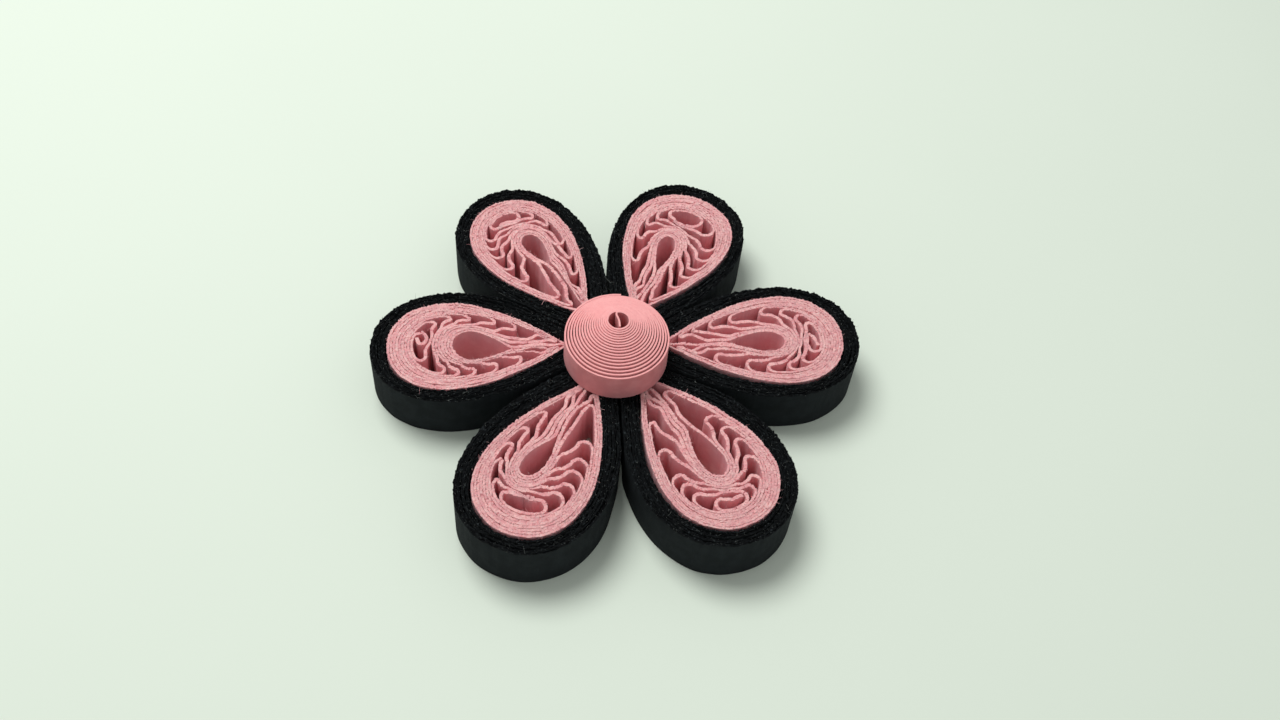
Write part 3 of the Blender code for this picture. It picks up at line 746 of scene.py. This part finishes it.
def makePetalBorder(number, petal, leftHalf, rightHalf):
    # A spiral from the inner outline to the outer one. Its place across grows with the turns so far, and
    # waves along the turns bunch some plies together.
    border = petalBorder
    plies = border["plies"]
    turn = np.linspace(border["ends"], plies - border["ends"], plies * border["turnPoints"])
    angle = (turn % 1) * tau
    inner, outer = borderCurves(petal, leftHalf, rightHalf, angle, border["glueGap"], border["inset"])
    share = (turn * (plies - 1) / plies + 0.5) / plies
    bunches = waver(seeds["bunching"] + number, turn, *border["bunchWaves"])
    share += bunches * border["bunching"] / plies * np.sin(math.pi * share)
    reach = outer - inner
    points = inner + reach * share[:, None]
    room = squareTo(points, reach) / plies
    points = paperWave(points, seeds["wobble"] + number, petalRoll["wobble"])
    thickness = np.clip(room * border["fill"], border["ply"] * border["thinnest"], border["ply"])
    even = pathLength(points)
    slow = waver(seeds["borderLong"] + number, even, *border["longWaves"]) * border["longShare"]
    quick = waver(seeds["borderShort"] + number, even, *border["shortWaves"]) * border["shortShare"]
    stray = np.clip(slow + quick, *border["strayLimits"]) * border["topStray"]
    top = petalRoll["strip"] - border["topDrop"] + stray
    foot = np.zeros(len(points))
    path = wholeFlower(points, petal, flowerCenter)
    seed = seeds["borderStrip"] + number * seeds["step"]
    strip = stripMesh(path, thickness, top, foot, border["crimp"], border["ragged"], seed)
    piece = makeMesh(f"petal_{number}_black_border", *strip, blackPaper)
    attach(piece, "root")
    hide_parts(f"petal_{number}_border")
    return piece, path, top


# What both kinds of loose fibre share. fromEnds is in points of the path.
fuzzShape = {"fromEnds": 5, "rootDepth": 0.02 * mm, "leastLift": 0.05, "curl": 0.45, "droop": 0.3}


def makeFuzz(name, path, top, look, material, seed):
    # Loose fibres rooted at random places on a strip's cut edge, most of them short and lying down.
    shape = fuzzShape
    pick = np.random.default_rng(seed)
    count = look["count"]
    at = pick.integers(shape["fromEnds"], len(path) - shape["fromEnds"], count)
    sideways = pick.normal(0, look["spread"], (count, 2))
    roots = np.column_stack([path[at] + sideways, top[at] - shape["rootDepth"]])
    heading = pick.random(count) * tau
    lift = np.abs(pick.normal(0, look["lift"], count)) + shape["leastLift"]
    directions = np.column_stack([np.cos(heading), np.sin(heading), lift])
    directions /= np.linalg.norm(directions, axis=1, keepdims=True)
    lengths = look["shortest"] + pick.exponential(look["usual"], count)
    lengths = np.minimum(lengths, look["longest"])
    curls = pick.normal(0, shape["curl"], (count, 3)) * lengths[:, None]
    curls[:, 2] = -np.abs(curls[:, 2]) * shape["droop"]
    radius = pick.uniform(look["thin"], look["thick"], count)
    verts, faces = tubeFibers(roots, directions, lengths, curls, radius)
    tone = np.repeat(pick.random(count) ** look["darkness"], len(verts) // count)
    fuzz = makeMesh(name, verts, faces, {"tone": tone}, material)
    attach(fuzz, "root")
    return fuzz


blackFuzz = {
    "count": 1300, "spread": 0.06 * mm, "lift": 0.5, "shortest": 0.07 * mm, "usual": 0.07 * mm,
    "longest": 0.7 * mm, "thin": 0.006 * mm, "thick": 0.014 * mm, "darkness": 2.6,
}
pinkFuzz = {
    "count": 1300, "spread": 0.09 * mm, "lift": 0.3, "shortest": 0.10 * mm, "usual": 0.08 * mm,
    "longest": 0.55 * mm, "thin": 0.010 * mm, "thick": 0.020 * mm, "darkness": 0.6,
}

for number, petal in enumerate(petals, start=1):
    after, before = petals[number % len(petals)], petals[number - 2]
    halves = halfAngle(petal, after), halfAngle(before, petal)
    coil, coilPath, coilTop = makePetalCoil(number, petal)
    border, borderPath, borderTop = makePetalBorder(number, petal, *halves)
    makeFuzz(f"petal_{number}_border_fuzz", borderPath, borderTop, blackFuzz, blackFiber,
             seeds["borderFuzz"] + number)
    makeFuzz(f"petal_{number}_coil_fuzz", coilPath, coilTop, pinkFuzz, pinkFiber,
             seeds["coilFuzz"] + number)
    print("petal", number, "made:", len(coil.data.polygons), "and", len(border.data.polygons), "faces")


# The centre: a tight roll pushed up into a cone, with the strip's inner end across its hole.
centerCone = {
    "strip": 2.85 * mm, "radius": 4.74 * mm, "hole": 0.8 * mm, "rise": 2.4 * mm, "turns": 18,
    "levelTurns": 1, "slopeRounding": 0.1, "offset": (-0.03 * mm, -1.28 * mm), "gap": 0.06 * mm,
    "ply": 0.17 * mm, "loosening": 0.26, "pointsATurn": 120, "endDirection": 82,
    "topWaves": (8, 3 * mm, 40 * mm), "topStray": 0.012 * mm, "crimp": 0.004 * mm, "ragged": 0.003 * mm,
    # The inner end's way across the hole, in the innermost turn's radius, and the step of its points
    "innerEnd": ((1.0, 0.0), (0.93, 0.3), (0.6, 0.32), (0.2, 0.1), (-0.3, -0.06), (-0.85, -0.12)),
    "innerStep": 0.06 * mm,
}


def coneRise(radius):
    # Level at the rim, then a slope that flattens a little towards the top.
    cone = centerCone
    turn = (cone["radius"] - cone["hole"]) / cone["turns"]
    level = cone["radius"] - cone["levelTurns"] * turn
    share = np.clip((level - radius) / (level - cone["hole"]), 0, 1)
    return cone["rise"] * ((1 + cone["slopeRounding"]) * share - cone["slopeRounding"] * share ** 2)


def makeCenterCone():
    # A spiral whose radius falls with the angle, faster on the looser outer turns than on the inner
    # ones, then a run across the hole. share is the part of the turns still to come.
    cone = centerCone
    turn = np.linspace(0, cone["turns"], cone["turns"] * cone["pointsATurn"])
    share = 1 - turn / cone["turns"]
    share = share * (1 - cone["loosening"]) + share ** 2 * cone["loosening"]
    radius = cone["hole"] + cone["ply"] / 2 + (cone["radius"] - cone["hole"] - cone["ply"]) * share
    angle = math.radians(cone["endDirection"]) + tau * turn
    spiral = np.stack([radius * np.cos(angle), radius * np.sin(angle)], axis=1)
    last = cone["hole"] + cone["ply"] / 2
    across = np.array(cone["innerEnd"]) * last
    inner = spaceEvenly(cutCorners(turnBy(across, cone["endDirection"])), cone["innerStep"])
    points = np.concatenate([spiral, inner[1:]])
    even = pathLength(points)
    fromCenter = np.maximum(np.linalg.norm(points, axis=1), cone["hole"])
    base = petalRoll["strip"] + cone["gap"]
    rise = coneRise(fromCenter)
    foot = base + rise
    top = foot + cone["strip"] + waver(seeds["coneTop"], even, *cone["topWaves"]) * cone["topStray"]
    thickness = np.full(len(points), cone["ply"])
    path = points + flowerCenter + np.array(cone["offset"])
    strip = stripMesh(path, thickness, top, foot, cone["crimp"], cone["ragged"], seeds["coneStrip"])
    piece = makeMesh("center_cone", *strip, conePaper)
    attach(piece, "root")
    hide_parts("center_cone_coil")
    return piece


cone = makeCenterCone()
print("centre cone made:", len(cone.data.polygons), "faces")


# The table, the light and the camera
stageLook = {
    "floor": (0.765, 0.86, 0.75), "floorSize": 3.0, "floorDepth": 2e-5, "roughness": 0.85, "specular": 0.2,
    "mottle": (60 * mm, 3), "mottleFade": (0.3, 0.7), "mottleShade": 0.985,
    "ambient": 0.41, "ambientColor": (1.0, 1.0, 1.0), "background": (0.80, 0.88, 0.80),
}
keyLight = {
    "size": 0.19, "power": 0.82, "distance": 0.34, "from": (-0.28, 0.36, 0.89), "color": (1.0, 0.99, 0.98),
}


def makeFloor():
    # One large square, a hair below the flower's lower edges.
    half, down = stageLook["floorSize"] / 2, -stageLook["floorDepth"]
    corners = [(-half, -half, down), (half, -half, down), (half, half, down), (-half, half, down)]
    mesh = bpy.data.meshes.new("floor")
    mesh.from_pydata(corners, [], [(0, 1, 2, 3)])
    floor = bpy.data.objects.new("floor", mesh)
    bpy.context.scene.collection.objects.link(floor)
    material, nodes, links, shader, coords = startMaterial("floorCard")
    noise = addNoise(nodes, links, coords, *stageLook["mottle"])
    mottle = addRamp(nodes, links, noise, *stageLook["mottleFade"])
    shade = tuple(c * stageLook["mottleShade"] for c in stageLook["floor"])
    links.new(addMix(nodes, links, mottle, shade, stageLook["floor"]), shader.inputs["Base Color"])
    shader.inputs["Roughness"].default_value = stageLook["roughness"]
    shader.inputs["Specular IOR Level"].default_value = stageLook["specular"]
    mesh.materials.append(material)


def makeWorld():
    # Even white light, with the pale background's own colour only where the camera looks at it.
    world = bpy.data.worlds.new("studio")
    bpy.context.scene.world = world
    world.use_nodes = True
    nodes, links = world.node_tree.nodes, world.node_tree.links
    light = nodes["Background"]
    light.inputs["Color"].default_value = (*stageLook["ambientColor"], 1)
    light.inputs["Strength"].default_value = stageLook["ambient"]
    seen = nodes.new("ShaderNodeBackground")
    seen.inputs["Color"].default_value = (*stageLook["background"], 1)
    seen.inputs["Strength"].default_value = 1.0
    path = nodes.new("ShaderNodeLightPath")
    mix = nodes.new("ShaderNodeMixShader")
    links.new(path.outputs["Is Camera Ray"], mix.inputs[0])
    links.new(light.outputs[0], mix.inputs[1])
    links.new(seen.outputs[0], mix.inputs[2])
    links.new(mix.outputs[0], nodes["World Output"].inputs["Surface"])


def makeKeyLight():
    light = bpy.data.lights.new("window", "AREA")
    light.shape = "DISK"
    light.size = keyLight["size"]
    light.energy = keyLight["power"]
    light.color = keyLight["color"]
    lamp = bpy.data.objects.new("window", light)
    bpy.context.scene.collection.objects.link(lamp)
    away = np.array(keyLight["from"]) / np.linalg.norm(keyLight["from"])
    lamp.location = away * keyLight["distance"]
    lamp.rotation_euler = Vector(-away).to_track_quat("-Z", "Y").to_euler()


# The camera as fitted to the photo. turn swings it round the flower.
photoCamera = {
    "elevation": 53.15, "roll": -4.6, "turn": -8.05, "distance": 123.6 * mm, "focalPixels": 1379.4,
    "imageWidth": 1280, "imageHeight": 720, "centerPixel": (614.2, 346.3), "sensorWidth": 36,
    "clip": (0.001, 10),
}


def makeCamera():
    # The camera looks down at the petals' centre at its elevation. It is then turned so that the centre
    # falls on its pixel, rolled, and swung round the flower.
    look = photoCamera
    elevation = math.radians(look["elevation"])
    right = np.array([1, 0, 0])
    up = np.array([0, math.sin(elevation), math.cos(elevation)])
    back = np.array([0, -math.cos(elevation), math.sin(elevation)])
    yaw = math.atan2(look["centerPixel"][0] - look["imageWidth"] / 2, look["focalPixels"])
    pitch = math.atan2(look["centerPixel"][1] - look["imageHeight"] / 2, look["focalPixels"])
    x = right * math.cos(yaw) - back * math.sin(yaw)
    ahead = -right * math.sin(yaw) - back * math.cos(yaw)
    y = up * math.cos(pitch) - ahead * math.sin(pitch)
    ahead = up * math.sin(pitch) + ahead * math.cos(pitch)
    roll = math.radians(look["roll"])
    rolledX = math.cos(roll) * x - math.sin(roll) * y
    rolledY = math.sin(roll) * x + math.cos(roll) * y
    axes = np.stack([rolledX, rolledY, -ahead])
    place = back * look["distance"]
    axes = np.concatenate([turnBy(axes[:, :2], look["turn"]), axes[:, 2:]], axis=1)
    place = np.concatenate([turnBy(place[None, :2], look["turn"])[0], place[2:]])
    place += np.array([*flowerCenter, petalRoll["strip"]])
    data = bpy.data.cameras.new("camera")
    data.sensor_width = look["sensorWidth"]
    data.lens = look["focalPixels"] / look["imageWidth"] * data.sensor_width
    data.clip_start, data.clip_end = look["clip"]
    camera = bpy.data.objects.new("camera", data)
    bpy.context.scene.collection.objects.link(camera)
    matrix = np.eye(4)
    matrix[:3, :3] = axes.T
    matrix[:3, 3] = place
    camera.matrix_world = Matrix(matrix.tolist())
    bpy.context.scene.camera = camera


makeFloor()
makeWorld()
makeKeyLight()
makeCamera()
bpy.context.scene.view_settings.view_transform = "Standard"
print("floor, light and camera set")
